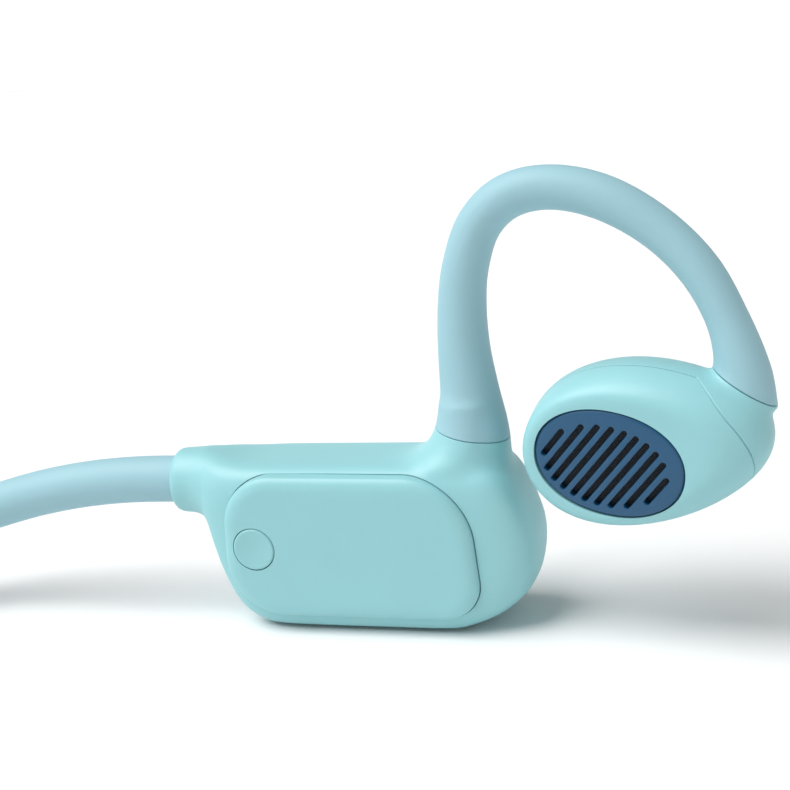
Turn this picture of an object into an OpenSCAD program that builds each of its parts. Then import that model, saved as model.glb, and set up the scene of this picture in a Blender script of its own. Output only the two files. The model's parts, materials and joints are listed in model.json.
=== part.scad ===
// Neckband headphones with over-ear hooks and open speaker pods, standing upright.
// Millimetres. X points to the wearer's front, Y to the wearer's left, Z up.
// The origin is the centre of the bounding box in X and Y, on the resting plane.
// One unit is drawn in its own frame, with its head side towards -Y, and the
// other unit is its mirror image in the XZ plane.

/* [Overall] */
// Half of the distance between the mid planes of the two units
half_width = 55; // [49:0.5:66]
// Shift of both units along X that centres the bounding box on the origin
unit_x = 32.05; // [30:0.05:37]
// Height of the ear hook's crown above the top of the housing
hook_h = 28.9; // [24:0.1:35]
// Wall thickness of the housings
wall = 1.3; // [1:0.1:1.5]
// Clearance between pieces that are seated in each other
fit = 0.06; // [0.03:0.01:0.1]

/* [Neckband] */
// Radius of the silicone tube
tube_r = 2.65; // [2.2:0.05:2.9]
// Angle by which the band dips towards the nape
band_dip = 15.5; // [13:0.5:18]
// Radius of the downward bend behind the housings
dip_r = 76; // [65:1:85]
// Angle swept by each side bend
side_turn = 52; // [46:1:58]
// Straight length between the downward bend and the side bend
band_straight = 1.45; // [0:0.05:6]
// Radius of the sprung titanium wire
wire_r = 0.45; // [0.3:0.05:0.6]
// Radius of the cable that joins the two units
cable_r = 0.7; // [0.4:0.05:0.8]

/* [Housing] */
// Half thickness of the housing body
body_hy = 6.3; // [5.8:0.1:7]
// How far the inner cover plate stands out of the body
panel_step = 0.9; // [0.5:0.1:1.3]
// Thickness of the rim and edge that hold the cover plate
panel_t = 1.2; // [0.9:0.1:1.5]
// Radius of the round function button
button_r = 2.35; // [1.8:0.05:2.8]
// Travel of the function button and of the volume keys
key_travel = 0.3; // [0.2:0.05:0.35]
// Length of a volume key
key_l = 6; // [5:0.25:7]
// Width of a volume key
key_w = 2.8; // [2.2:0.1:3.2]

/* [Speaker pod] */
// Half length of the pod
pod_a = 12.45; // [11.8:0.05:13.2]
// Half height of the pod
pod_b = 8.25; // [7.8:0.05:8.8]
// Turn of the pod face towards the ear canal
pod_yaw = 10; // [4:1:14]
// Downward tilt of the pod face
pod_tilt = 4; // [0:1:8]
// Width of one grille slot
slot_w = 0.58; // [0.3:0.05:0.7]
// Number of grille slots
slots = 10; // [6:1:11]
// Radius of the speaker driver
driver_r = 5.2; // [4.6:0.1:5.4]

/* [Hidden] */

plastic = [0.62, 0.82, 0.80];
silicone = [0.60, 0.76, 0.78];
navy = [0.16, 0.22, 0.42];
dark = [0.08, 0.08, 0.10];
steel = [0.72, 0.72, 0.74];
copper = [0.80, 0.48, 0.28];
gold = [0.90, 0.74, 0.38];
board = [0.10, 0.36, 0.22];
foil = [0.80, 0.80, 0.82];

ring_n = 36;
// Height in a unit's frame of the line that the housings stand on
foot_z = 1.7;
top_z = 19.9;
neck_z = 16.95;
neck_x = -37;
collar_x = -34.95;
bore_end = -31.45;
collar_r = tube_r + 0.6;

// Sections of the housing body along X: position, bottom, top, half
// thickness over body_hy, and the exponent of the rounded section
body = [
  [collar_x, neck_z - collar_r, neck_z + collar_r, collar_r / body_hy, 2.0],
  [-34.4, neck_z - collar_r - 0.4, neck_z + collar_r + 0.35, (collar_r + 0.4) / body_hy, 2.0],
  [-32.6, neck_z - collar_r - 0.6, top_z + 0.7, (collar_r + 0.5) / body_hy, 2.1],
  [-31.2, 12.50, top_z + 0.75, max(0.66, (collar_r + 0.85) / body_hy), 2.3],
  [-30.4, 11.00, top_z + 0.65, 0.720, 2.6],
  [-29.8, 8.90, top_z + 0.55, 0.790, 3.0],
  [-29.0, 6.50, top_z + 0.42, 0.850, 3.6],
  [-27.95, 4.40, top_z + 0.25, 0.900, 4.4],
  [-26.7, 2.80, top_z + 0.1, 0.940, 5.0],
  [-25.0, 1.85, top_z, 0.970, 5.8],
  [-22.8, 1.35, top_z, 0.990, 6.2],
  [-19.0, 1.15, top_z, 1.000, 6.2],
  [-10.0, 1.15, top_z, 1.000, 6.2],
  [-3.5, 1.25, top_z, 1.000, 6.2],
  [-0.8, 1.75, top_z, 0.990, 5.6],
  [1.8, 2.75, 19.75, 0.965, 4.8],
  [3.5, 3.75, 18.70, 0.920, 4.0],
  [4.8, 4.85, 16.80, 0.840, 3.3],
  [5.8, 6.35, 14.50, 0.690, 2.7],
  [6.4, 8.35, 13.00, 0.470, 2.3],
  [6.6, 9.50, 11.60, 0.220, 2.0]
];
body_tip = [6.65, 10.5];

// Sections of the hook along its path: position, radius in its plane and
// radius across it
hook = [
  [0.15, 0, 17.6, 3.6, 3.9],
  [0.10, 0, 22.3, 3.6, 3.8],
  [-0.15, 0, 27.0, 3.1, 3.2],
  [-0.35, 0, 31.5, 2.75, 2.85],
  [-0.15, 0, 36.0, 2.55, 2.6],
  [0.55, 0, 40.0, 2.42, 2.5],
  [2.30, 0, 44.2, 2.33, 2.4],
  [5.50, -0.1, 46.9, 2.30, 2.4],
  [10.0, -0.3, 47.6, 2.25, 2.35],
  [15.2, -0.7, 46.3, 2.25, 2.35],
  [20.2, -1.2, 43.2, 2.14, 2.3],
  [24.2, -1.9, 39.0, 2.1, 2.3],
  [26.8, -2.6, 33.9, 2.12, 2.3],
  [28.0, -3.1, 29.0, 2.75, 2.7],
  [28.0, -3.4, 25.4, 3.3, 3.1]
];

pod_c = [6.2 + pod_a, -3.2, 22.3];
face_w = 5.2;
grille_c = [-2.7, -0.48];
grille_a = 7.5;
grille_b = 5.4;
grille_lean = 16;
panel_y = -body_hy - panel_step;
panel_in = -body_hy + panel_t;
button_c = [-23.9, 11.3];
// Planes of the boards and faces behind the cover plate
flange_y = panel_in + 0.1;
flange_t = 0.6;
cell_front = flange_y + 2.6;

function sp(v, e) = sign(v) * pow(abs(v), e);
function oval(n, a, b, e) = [for (i = [0:n - 1]) let (t = 360 * i / n)
  [a * sp(cos(t), 2 / e), b * sp(sin(t), 2 / e)]];
function cr(a, b, c, d, t) = 0.5 * ((2 * b) + (c - a) * t
  + (2 * a - 5 * b + 4 * c - d) * t * t + (3 * b - a - 3 * c + d) * t * t * t);
function along(list, u) = let (
    n = len(list) - 1,
    k = min(floor(u), n - 1),
    t = u - k)
  cr(list[max(k - 1, 0)], list[k], list[k + 1], list[min(k + 2, n)], t);
function unit(v) = v / norm(v);
// The hook's foot stays on the housing, its crown follows hook_h and its
// front follows the pod
function clamp01(v) = max(0, min(1, v));
function lifted(p) = [
  p[0] + 2 * (pod_a - 12.45) * clamp01((p[0] - 5) / 20),
  p[1],
  p[2] + (hook_h - 28.9) * clamp01((p[2] - 29) / 15) + (pod_b - 8.25) * clamp01((p[0] - 15) / 10),
  p[3],
  p[4]];
function hook_at(u) = lifted(along(hook, u));
function vec(p) = [p[0], p[1], p[2]];

// Ring of points around the hook's path, kr and ky scale its two radii
function hook_ring(u, n, rx, ry) = let (
    p = vec(hook_at(u)),
    t = unit(vec(hook_at(min(u + 0.02, len(hook) - 1))) - vec(hook_at(max(u - 0.02, 0)))),
    side = unit(cross(t, [0, 1, 0])),
    across = cross(side, t))
  [for (i = [0:n - 1]) let (a = 360 * i / n) p + side * rx * cos(a) + across * ry * sin(a)];

function flat(lists) = [for (l = lists) for (p = l) p];
// Faces between rings of n points each, for rings k0 to k1
function skin(n, k0, k1) = [for (k = [k0:k1 - 1]) for (i = [0:n - 1])
  let (j = (i + 1) % n) [k * n + i, (k + 1) * n + i, (k + 1) * n + j, k * n + j]];

// A solid through a list of rings, closed by flat ends
module loft(rings) {
  n = len(rings[0]);
  m = len(rings);
  polyhedron(points = flat(rings), faces = concat(skin(n, 0, m - 1),
    [[for (i = [0:n - 1]) i]],
    [[for (i = [n - 1:-1:0]) (m - 1) * n + i]]), convexity = 6);
}

// A ring-shaped solid whose rings close on themselves
module loop_loft(rings) {
  n = len(rings[0]);
  m = len(rings);
  polyhedron(points = flat(rings), faces = concat(skin(n, 0, m - 1),
    [for (i = [0:n - 1]) let (j = (i + 1) % n)
      [(m - 1) * n + i, i, j, (m - 1) * n + j]]), convexity = 6);
}

module left() {
  translate([unit_x, half_width, -foot_z]) children();
}

module right() {
  mirror([0, 1, 0]) left() children();
}

// ---- housing ----

function body_ring(s, in, dx) = let (
    zc = (s[1] + s[2]) / 2,
    hz = (s[2] - s[1]) / 2 - in,
    hy = s[3] * body_hy - in)
  [for (p = oval(ring_n, hy, hz, s[4])) [s[0] + dx, p[0], max(zc + p[1], foot_z + in)]];
function tip_ring(x, r) = [for (p = oval(ring_n, r, r, 2)) [x, p[0], neck_z + p[1]]];

module body_outer() {
  loft(concat([for (s = body) body_ring(s, 0, 0)],
    [[for (p = oval(ring_n, 0.2, 0.2, 2)) [body_tip[0], p[0], body_tip[1] + p[1]]]]));
}

// The hollow shell is one closed surface: the outside from the tube end to
// the nose, then the inside back to the bore for the tube
module body_hollow() {
  outer = concat([for (s = body) body_ring(s, 0, 0)],
    [[for (p = oval(ring_n, 0.2, 0.2, 2)) [body_tip[0], p[0], body_tip[1] + p[1]]]]);
  inner = concat(
    [[for (p = oval(ring_n, 0.2, 0.2, 2)) [body_tip[0] - wall, p[0], body_tip[1] + p[1]]]],
    [for (k = [len(body) - 3:-1:14]) body_ring(body[k], wall, -wall * 0.8)],
    [for (k = [13:-1:10]) body_ring(body[k], wall, 0)],
    [for (k = [9:-1:6]) body_ring(body[k], wall, wall * 0.9)],
    [tip_ring(bore_end + 0.9, tube_r - 0.2)],
    [tip_ring(bore_end, tube_r - 0.2)],
    [tip_ring(bore_end, tube_r + fit)],
    [tip_ring(collar_x, tube_r + fit)]);
  loop_loft(concat(outer, inner));
}

module panel_outline(grow) {
  hull() {
    translate([-21.5, 13.5]) circle(r = 5.8 + grow, $fn = 48);
    translate([-6.95, 11.75]) circle(r = 7.45 + grow, $fn = 48);
    translate([-3.35, 7.5]) circle(r = 4.1 + grow, $fn = 48);
    translate([-21.2, 9.75]) circle(r = 6.35 + grow, $fn = 48);
  }
}

// Prism of an outline in the XZ plane, from y0 to y1
module prism_y(y0, y1) {
  translate([0, y1, 0]) rotate([90, 0, 0]) linear_extrude(height = y1 - y0) children();
}

module rod_y(x, z, r, y0, y1) {
  translate([x, y1, z]) rotate([90, 0, 0]) cylinder(r = r, h = y1 - y0, $fn = 48);
}

module pill(l, w, h) {
  hull() {
    translate([-(l - w) / 2, 0, 0]) cylinder(r = w / 2, h = h, $fn = 32);
    translate([(l - w) / 2, 0, 0]) cylinder(r = w / 2, h = h, $fn = 32);
  }
}

module stub(l, w, h) {
  translate([-(l - w) / 2, -w / 2, 0]) cube([l - w, w, h]);
  translate([-(l - w) / 2, 0, 0]) cylinder(r = w / 2, h = h, $fn = 40);
  translate([(l - w) / 2, 0, 0]) cylinder(r = w / 2, h = h, $fn = 40);
}

key_x = [-24.2, -15.4];
key_foot = top_z - wall - 1.25;
key_top = top_z + 0.5;
key_board_z = 14.85;
switch_top = key_foot - 0.8;

module shell_unit() {
  difference() {
    body_hollow();
    prism_y(-body_hy - 1, -1.5) panel_outline(fit);
    translate([0.12, 0, 16]) cylinder(r = 2.9 + fit, h = 8, $fn = 48);
  }
}

module module_shell_l() {
  color(plastic) left() shell_unit();
}

module module_shell_r() {
  color(plastic) right() difference() {
    shell_unit();
    for (x = key_x)
      translate([x, 0, 17.5]) stub(key_l + 0.24, key_w + 0.24, 5);
  }
}

module panel_unit() {
  prism_y(panel_y + 0.5, panel_in) panel_outline(0);
  prism_y(panel_y, panel_y + 0.5) panel_outline(-0.35);
}

module module_panel_l() {
  color(plastic) left() difference() {
    panel_unit();
    rod_y(button_c[0], button_c[1], button_r + 0.1, panel_y - 1, panel_in + 1);
  }
}

module module_panel_r() {
  color(plastic) right() difference() {
    panel_unit();
    for (z = [-2, 2])
      rod_y(button_c[0], button_c[1] + z, 1.0 + fit, panel_y - 1, panel_in + 1);
  }
}

// ---- neckband ----

// The band's centre line: into the housing, a downward bend, a side bend and
// the nape arc, which both lie in the dipped plane. The side bend's radius is
// the one that brings the back of the band down to the resting plane
band_drop = (neck_z - foot_z - dip_r * (1 - cos(band_dip)) - tube_r) / sin(band_dip);
side_r = (band_drop - band_straight - half_width * (1 - sin(side_turn)) / cos(side_turn))
  / (sin(side_turn) + (1 - sin(side_turn)) * (1 - 1 / cos(side_turn)));
nape_r = side_r + (half_width - side_r) / cos(side_turn);
neck_into = 5.45;
wire_b = 1.05;
cable_b = -0.95;
dip_end = [neck_x - dip_r * sin(band_dip), 0, neck_z - dip_r * (1 - cos(band_dip))];
back = [-cos(band_dip), 0, -sin(band_dip)];
inward = [0, -1, 0];
dip_up = [-sin(band_dip), 0, cos(band_dip)];

// Each station is a point, the sideways direction and the upward direction
function dip_station(a) = [
  [neck_x - dip_r * sin(a), 0, neck_z - dip_r * (1 - cos(a))], inward, [-sin(a), 0, cos(a)]];
function flat_station(x, y, a) = [dip_end + back * x + inward * y,
  inward * cos(a) - back * sin(a), dip_up];
function side_station(a) = flat_station(band_straight + side_r * sin(a), side_r * (1 - cos(a)), a);
function nape_station(a) = flat_station(
  band_straight + (side_r - nape_r) * sin(side_turn) + nape_r * sin(a),
  half_width - nape_r * cos(a), a);
function placed(s) = [s[0] + [unit_x, half_width, -foot_z], s[1], s[2]];
function mirrored(s) = [for (v = s) [v[0], -v[1], v[2]]];

function half_band(into) = [for (s = concat(
  [[[neck_x + into, 0, neck_z], inward, [0, 0, 1]]],
  [for (k = [0:4]) dip_station(band_dip * k / 4)],
  [for (k = [0:7]) side_station(side_turn * k / 7)],
  [for (k = [1:9]) nape_station(side_turn + (90 - side_turn) * k / 9)])) placed(s)];

function whole_band(into) = let (h = half_band(into), n = len(h))
  concat(h, [for (k = [n - 2:-1:0]) mirrored(h[k])]);

// Rod that runs at height b above the centre line
module band_rod(r, b, into, n) {
  loft([for (s = whole_band(into)) [for (i = [0:n - 1]) let (a = 360 * (i + 0.5) / n)
    s[0] + s[2] * (b + r * sin(a)) + s[1] * r * cos(a)]]);
}

module neck_sleeve() {
  color(silicone) difference() {
    band_rod(tube_r, 0, neck_into, 22);
    band_rod(wire_r + 0.06, wire_b, neck_into + 1, 8);
    band_rod(cable_r + 0.08, cable_b, neck_into + 1, 8);
  }
}

module neck_wire() {
  color(steel) band_rod(wire_r, wire_b, neck_into + 3.4, 8);
}

module neck_cable() {
  color(dark) band_rod(cable_r, cable_b, neck_into + 3.4, 8);
}

// ---- hook ----

hook_n = 20;
hook_step = 0.4;
hook_top = len(hook) - 1;

module hook_solid() {
  loft([for (u = [0:hook_step:hook_top + 0.001])
    let (h = hook_at(min(u, hook_top))) hook_ring(min(u, hook_top), hook_n, h[3], h[4])]);
}

module hook_core(r, u0, u1) {
  steps = ceil((u1 - u0) / hook_step);
  loft([for (k = [0:steps]) hook_ring(u0 + (u1 - u0) * k / steps, 8, r, r)]);
}

// The sleeve is one closed surface with a bore for the wire, trimmed by the
// housing below and by the pod in front
module sleeve_unit() {
  last = hook_top;
  steps = 30;
  out = [for (k = [0:steps]) let (u = 0.35 + (last - 0.35) * k / steps, h = hook_at(u))
    hook_ring(u, hook_n, h[3], h[4])];
  inn = [for (k = [steps:-1:0]) let (u = 0.35 + (last - 0.35) * k / steps)
    hook_ring(u, hook_n, wire_r + 0.12, wire_r + 0.12)];
  difference() {
    loop_loft(concat(out, inn));
    translate([0, 0, -0.03]) grown_body();
    pod_place() pod_outer(0.07);
  }
}

module grown_body() {
  translate([0.12, 0, 0]) difference() {
    translate([-12, -9, 10]) cube([24, 18, top_z - 9.97]);
    translate([0, 0, 16.6]) cylinder(r = 2.9, h = 8, $fn = 48);
  }
}

module hook_sleeve_l() {
  color(silicone) left() sleeve_unit();
}

module hook_sleeve_r() {
  color(silicone) right() sleeve_unit();
}

module hook_wire_l() {
  color(steel) left() hook_core(wire_r, 0.1, hook_top - 0.2);
}

module hook_wire_r() {
  color(steel) right() hook_core(wire_r, 0.1, hook_top - 0.2);
}

// ---- speaker pod ----

pod_roll = 5.6;
pod_taper = -0.17;

module pod_place() {
  translate(pod_c) rotate([0, 0, -pod_yaw]) rotate([90 + pod_tilt, 0, 0])
    rotate([0, 0, pod_roll]) children();
}

// Profile of the pod towards the face: distance and share of its size, and
// distance and shift of its centre
pod_share = [[-6.0, 0.46], [-5.6, 0.66], [-4.7, 0.82], [-3.2, 0.93], [-1.2, 0.99], [0.8, 1.0],
  [2.4, 0.97], [3.4, 0.935], [4.3, 0.885], [4.95, 0.82], [5.2, 0.76]];
pod_shift = [[-6.0, 0.3], [-3.2, 0.1], [-1.2, 0], [0.8, 0], [2.4, -0.15], [3.4, -0.45],
  [4.3, -0.9], [4.95, -1.4], [5.2, -1.7]];
pod_n = 44;

// Point of the pod's surface in the direction t at distance w, moved inwards
// by in and along by dw. The pod narrows towards its front
function pod_point(t, w, in, dw) = let (
    k = lookup(w, pod_share),
    a = pod_a * k - in,
    b = pod_b * k - in,
    p = a * sp(cos(t), 2 / 2.0))
  [p + lookup(w, pod_shift), b * sp(sin(t), 2 / 2.0) * (1 + pod_taper * p / a), w + dw];

// The parting line between shell and cap steps forward round the hook
function step_share(t) = let (a = t > 180 ? t - 360 : t)
  max(0, 1 - pow(abs(a - 12) / (a > 12 ? 34 : 36), 2.2));
function parting(t) = 1.1 + 2.85 * step_share(t);
function pod_ring(w, in, dw) =
  [for (i = [0:pod_n - 1]) pod_point(360 * i / pod_n, w, in, dw)];
// Ring at a share of the way from w0 to the parting line, or on to the face
function shell_ring(w0, share, in, dw) = [for (i = [0:pod_n - 1]) let (t = 360 * i / pod_n)
  pod_point(t, w0 + (parting(t) - w0) * share, in, dw)];
function cap_ring(share, in, dw) = [for (i = [0:pod_n - 1]) let (t = 360 * i / pod_n)
  pod_point(t, parting(t) + (face_w - parting(t)) * share, in, dw)];

shell_w = [-6.0, -5.6, -4.7, -3.2, -1.2, 0.4];

module pod_outer(grow) {
  loft(concat([for (w = shell_w) pod_ring(w, -grow, w < -5.9 ? -grow : 0)],
    [for (w = [2.4, 3.4, 4.3, 4.95, 5.2]) pod_ring(w, -grow, 0)]));
}

module pod_shell_unit() {
  loft(concat([for (w = shell_w) pod_ring(w, 0, 0)],
    [shell_ring(0.4, 0.5, 0, 0), shell_ring(0.4, 1, 0, 0)],
    [shell_ring(0.4, 1, wall, 0), shell_ring(0.4, 0.5, wall, 0)],
    [for (k = [5:-1:1]) pod_ring(shell_w[k], wall, wall * 0.12 * (5 - k))],
    [pod_ring(-6.0, wall, wall)]));
}

module drilled_pod() {
  difference() {
    pod_place() pod_shell_unit();
    hook_core(wire_r + 0.1, hook_top - 1.5, hook_top);
  }
}

module pod_shell_l() {
  color(plastic) left() drilled_pod();
}

module pod_shell_r() {
  color(plastic) right() drilled_pod();
}

// The grille's oval leans against the pod's own length
function grille_ring(w, grow) = [for (i = [0:pod_n - 1]) let (
    t = 360 * i / pod_n + grille_lean,
    x = (grille_a + grow) * sp(cos(t), 2 / 2.1),
    y = (grille_b + grow) * sp(sin(t), 2 / 2.1))
  [grille_c[0] + x * cos(grille_lean) + y * sin(grille_lean),
   grille_c[1] - x * sin(grille_lean) + y * cos(grille_lean), w]];

module pod_cap_unit() {
  loop_loft(concat(
    [for (share = [0, 0.3, 0.55, 0.78, 0.93, 1]) cap_ring(share, 0, share == 0 ? 0.09 : 0)],
    [grille_ring(face_w, fit)],
    [grille_ring(face_w - 0.9, fit)],
    [grille_ring(face_w - 0.9, -0.8)],
    [grille_ring(face_w - 1.7, -0.8)],
    [grille_ring(face_w - 1.7, 0.35)],
    [cap_ring(0, wall, 0.09)]));
}

module pod_cap_l() {
  color(plastic) left() pod_place() pod_cap_unit();
}

module pod_cap_r() {
  color(plastic) right() pod_place() pod_cap_unit();
}

// Slots lean forward and get shorter towards both ends of the oval
slot_step = [10.84 / slots, -6.2 / slots];
slot_lean = 46.7;

module slot(k) {
  o = k - (slots - 1) / 2;
  l = 4.72 * sqrt(max(0.1, 1 - pow(o / (slots / 2 - 0.11), 2)));
  translate([-3.13 + slot_step[0] * o, -0.69 + slot_step[1] * o]) rotate(-slot_lean)
    union() {
      translate([-slot_w / 2, -l + slot_w / 2]) square([slot_w, 2 * l - slot_w]);
      translate([0, l - slot_w / 2]) circle(r = slot_w / 2, $fn = 24);
    }
}

module grille_unit() {
  difference() {
    translate([0, 0, face_w - 0.88]) linear_extrude(height = 0.58)
      polygon([for (p = grille_ring(0, 0)) [p[0], p[1]]]);
    translate([0, 0, face_w - 2]) linear_extrude(height = 3)
      for (k = [0:slots - 1]) slot(k);
  }
}

module grille_l() {
  color(navy) left() pod_place() grille_unit();
}

module grille_r() {
  color(navy) right() pod_place() grille_unit();
}

module mesh_unit() {
  translate([0, 0, face_w - 1.08]) linear_extrude(height = 0.2)
    polygon([for (p = grille_ring(0, -0.85)) [p[0], p[1]]]);
}

module grille_mesh_l() {
  color(dark) left() pod_place() mesh_unit();
}

module grille_mesh_r() {
  color(dark) right() pod_place() mesh_unit();
}

// ---- speaker driver, on the grille's axis ----

module on_driver() {
  translate([grille_c[0], grille_c[1], 0]) children();
}

drv_top = face_w - 1.75;

module basket_unit() {
  on_driver() difference() {
    translate([0, 0, drv_top - 4.2]) cylinder(r = driver_r, h = 4.2, $fn = 64);
    translate([0, 0, drv_top - 3.5]) cylinder(r = driver_r - 0.6, h = 4, $fn = 64);
  }
}

module driver_basket_l() {
  color(dark) left() pod_place() basket_unit();
}

module driver_basket_r() {
  color(dark) right() pod_place() basket_unit();
}

module magnet_unit() {
  on_driver() {
    translate([0, 0, drv_top - 3.48]) cylinder(r = 2.6, h = 1.9, $fn = 48);
  }
}

module driver_magnet_l() {
  color(steel) left() pod_place() magnet_unit();
}

module driver_magnet_r() {
  color(steel) right() pod_place() magnet_unit();
}

module coil_unit() {
  on_driver() translate([0, 0, drv_top - 2.5]) difference() {
    cylinder(r = 3.15, h = 1.75, $fn = 48);
    translate([0, 0, -1]) cylinder(r = 2.75, h = 4, $fn = 48);
  }
}

module voice_coil_l() {
  color(copper) left() pod_place() coil_unit();
}

module voice_coil_r() {
  color(copper) right() pod_place() coil_unit();
}

// Domed diaphragm with a rolled surround, one turned sheet
module diaphragm_unit() {
  on_driver() translate([0, 0, drv_top - 0.72]) rotate_extrude($fn = 64)
    polygon([[0, 0.55], [1.6, 0.42], [2.6, 0], [3.3, 0], [3.9, 0.32], [4.45, 0.05], [4.57, 0.05],
      [4.57, 0.25], [4.45, 0.2], [3.9, 0.47], [3.3, 0.15], [2.6, 0.15], [1.6, 0.57], [0, 0.7]]);
}

module diaphragm_l() {
  color(foil) left() pod_place() diaphragm_unit();
}

module diaphragm_r() {
  color(foil) right() pod_place() diaphragm_unit();
}

// ---- inside the housings ----

// Ends of the block that clamps the neckband wire and the hook wire, which
// keep clear of the inside of the housing
anchor_back = -29.6 + 1.2 * max(0, wall - 1.3) + 0.5 * max(0, 6.3 - body_hy);
anchor_front = 1.6 - 2.5 * max(0, wall - 1.3) - 0.4 * max(0, 6.3 - body_hy);

module anchor_unit() {
  difference() {
    union() {
      translate([anchor_back, -1.8, 14.0]) cube([-28.3 - anchor_back, 3.6, 4.5]);
      translate([-2.2, -2.2, 14.0]) cube([anchor_front + 2.2, 4.4, 3.6]);
      translate([-28.4, -1.1, 14.0]) cube([26.3, 2.2, 0.7]);
    }
    translate([neck_x, 0, neck_z + wire_b]) rotate([0, 90, 0])
      cylinder(r = wire_r + 0.03, h = 12, $fn = 32);
    translate([neck_x, 0, neck_z + cable_b]) rotate([0, 90, 0])
      cylinder(r = cable_r + 0.03, h = 12, $fn = 32);
    translate([0.15, 0, 13]) cylinder(r = wire_r + 0.06, h = 7, $fn = 32);
  }
}

module wire_anchor_l() {
  color(dark) left() anchor_unit();
}

module wire_anchor_r() {
  color(dark) right() anchor_unit();
}

module rounded_bar(size, r) {
  translate([r, 0, 0]) cube([size[0] - 2 * r, size[1], size[2]]);
  translate([0, 0, r]) cube([size[0], size[1], size[2] - 2 * r]);
  for (x = [r, size[0] - r])
    for (z = [r, size[2] - r])
      rod_y(x, z, r, 0, size[1]);
}

module battery_cell() {
  color(foil) left() translate([-19.2, cell_front, foot_z + wall + 1.3])
    rounded_bar([20.8 - wall, body_hy - wall - 1.6 - cell_front, 10.85 - wall], 1.8);
}

module battery_board() {
  color(board) left() difference() {
    translate([-26.9, flange_y + 2.1, 6.2]) cube([7.4, 0.8, 8.5]);
    rod_y(-26.1, 13.4, 0.5, -body_hy, body_hy);
  }
}

module button_switch() {
  color(steel) left() {
    rod_y(button_c[0], button_c[1], 1.5, flange_y + 1.8, flange_y + 2.08);
    rod_y(button_c[0], button_c[1], 1.0, flange_y + 1.25 + key_travel, flange_y + 1.8);
  }
}

module function_button() {
  color(plastic) left() {
    rod_y(button_c[0], button_c[1], button_r, panel_y - 0.12, flange_y + flange_t);
    rod_y(button_c[0], button_c[1], button_r + 0.5, flange_y, flange_y + flange_t);
    rod_y(button_c[0], button_c[1], 0.8, flange_y + flange_t, flange_y + 1.2);
  }
}

module main_board() {
  color(board) right() translate([-20.0, -0.5, foot_z + wall + 1.4])
    rounded_bar([21.3 - wall, 0.9, 10.6 - wall], 1.2);
}

module radio_shield() {
  color(steel) right() translate([-17.5, -2.1, 5.4]) cube([9.5, 1.58, 7.2]);
}

module key_board() {
  color(board) right() translate([-27.9, -2.2, key_board_z]) cube([17.0, 4.4, 0.7]);
}

module key_switches() {
  color(steel) right() for (x = key_x) {
    translate([x, 0, key_board_z + 0.7]) cylinder(r = 1.3, h = 0.3, $fn = 40);
    translate([x, 0, key_board_z + 0.9])
      cylinder(r = 0.8, h = switch_top - key_travel - 0.1 - key_board_z - 0.9, $fn = 40);
  }
}

module key_unit(x) {
  translate([x, 0, key_foot]) stub(key_l + 1.1, key_w + 1.0, 0.7);
  translate([x, 0, key_foot]) stub(key_l, key_w, key_top - key_foot);
  translate([x, 0, switch_top]) cylinder(r = 0.8, h = 1.2, $fn = 40);
}

module volume_up_key() {
  color(silicone) right() key_unit(key_x[1]);
}

module volume_down_key() {
  color(silicone) right() key_unit(key_x[0]);
}

module charge_contacts() {
  color(gold) right() for (z = [-2, 2])
    rod_y(button_c[0], button_c[1] + z, 1.0, panel_y + 0.05, panel_in + 1.5);
}

module charge_magnets() {
  color(steel) right() difference() {
    translate([button_c[0] - 2.4, panel_in + 0.02, button_c[1] - 4.2]) cube([4.8, 1.4, 8.4]);
    for (z = [-2, 2])
      rod_y(button_c[0], button_c[1] + z, 1.0 + fit, -8, 0);
  }
}

neck_sleeve();
neck_wire();
neck_cable();
module_shell_l();
module_shell_r();
module_panel_l();
module_panel_r();
hook_sleeve_l();
hook_sleeve_r();
hook_wire_l();
hook_wire_r();
wire_anchor_l();
wire_anchor_r();
pod_shell_l();
pod_shell_r();
pod_cap_l();
pod_cap_r();
grille_l();
grille_r();
grille_mesh_l();
grille_mesh_r();
diaphragm_l();
diaphragm_r();
voice_coil_l();
voice_coil_r();
driver_magnet_l();
driver_magnet_r();
driver_basket_l();
driver_basket_r();
battery_cell();
battery_board();
function_button();
button_switch();
main_board();
radio_shield();
key_board();
key_switches();
volume_up_key();
volume_down_key();
charge_contacts();
charge_magnets();
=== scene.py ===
import json
import math

import bmesh
import bpy
import numpy as np
from mathutils import Matrix, Vector


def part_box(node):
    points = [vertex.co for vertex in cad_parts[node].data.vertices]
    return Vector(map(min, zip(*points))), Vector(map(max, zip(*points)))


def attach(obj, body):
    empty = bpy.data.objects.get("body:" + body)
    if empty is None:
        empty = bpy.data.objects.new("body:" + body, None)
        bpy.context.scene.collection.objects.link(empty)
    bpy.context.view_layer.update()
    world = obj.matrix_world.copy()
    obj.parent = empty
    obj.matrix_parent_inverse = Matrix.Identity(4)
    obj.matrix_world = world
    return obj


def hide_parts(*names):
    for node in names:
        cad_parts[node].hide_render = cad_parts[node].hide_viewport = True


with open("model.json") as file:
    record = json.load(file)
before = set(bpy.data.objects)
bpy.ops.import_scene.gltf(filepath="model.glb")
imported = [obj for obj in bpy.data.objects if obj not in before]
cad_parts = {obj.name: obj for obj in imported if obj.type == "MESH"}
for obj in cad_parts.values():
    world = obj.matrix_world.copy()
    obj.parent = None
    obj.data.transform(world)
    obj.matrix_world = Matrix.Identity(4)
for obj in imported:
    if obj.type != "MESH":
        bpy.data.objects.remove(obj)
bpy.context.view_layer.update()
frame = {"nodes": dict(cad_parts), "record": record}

# ---------------------------------------------------------------- frame

# Shapes are drawn in millimetres, in the frame of one unit: X to the wearer's
# front, head side towards -Y, Z up, resting on FOOT_Z. The left unit is moved
# into the row and the right unit is its mirror image.
MM = 0.001
NOSE_X = 6.65
BODY_HALF = 6.3
FOOT_Z = 1.7

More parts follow.
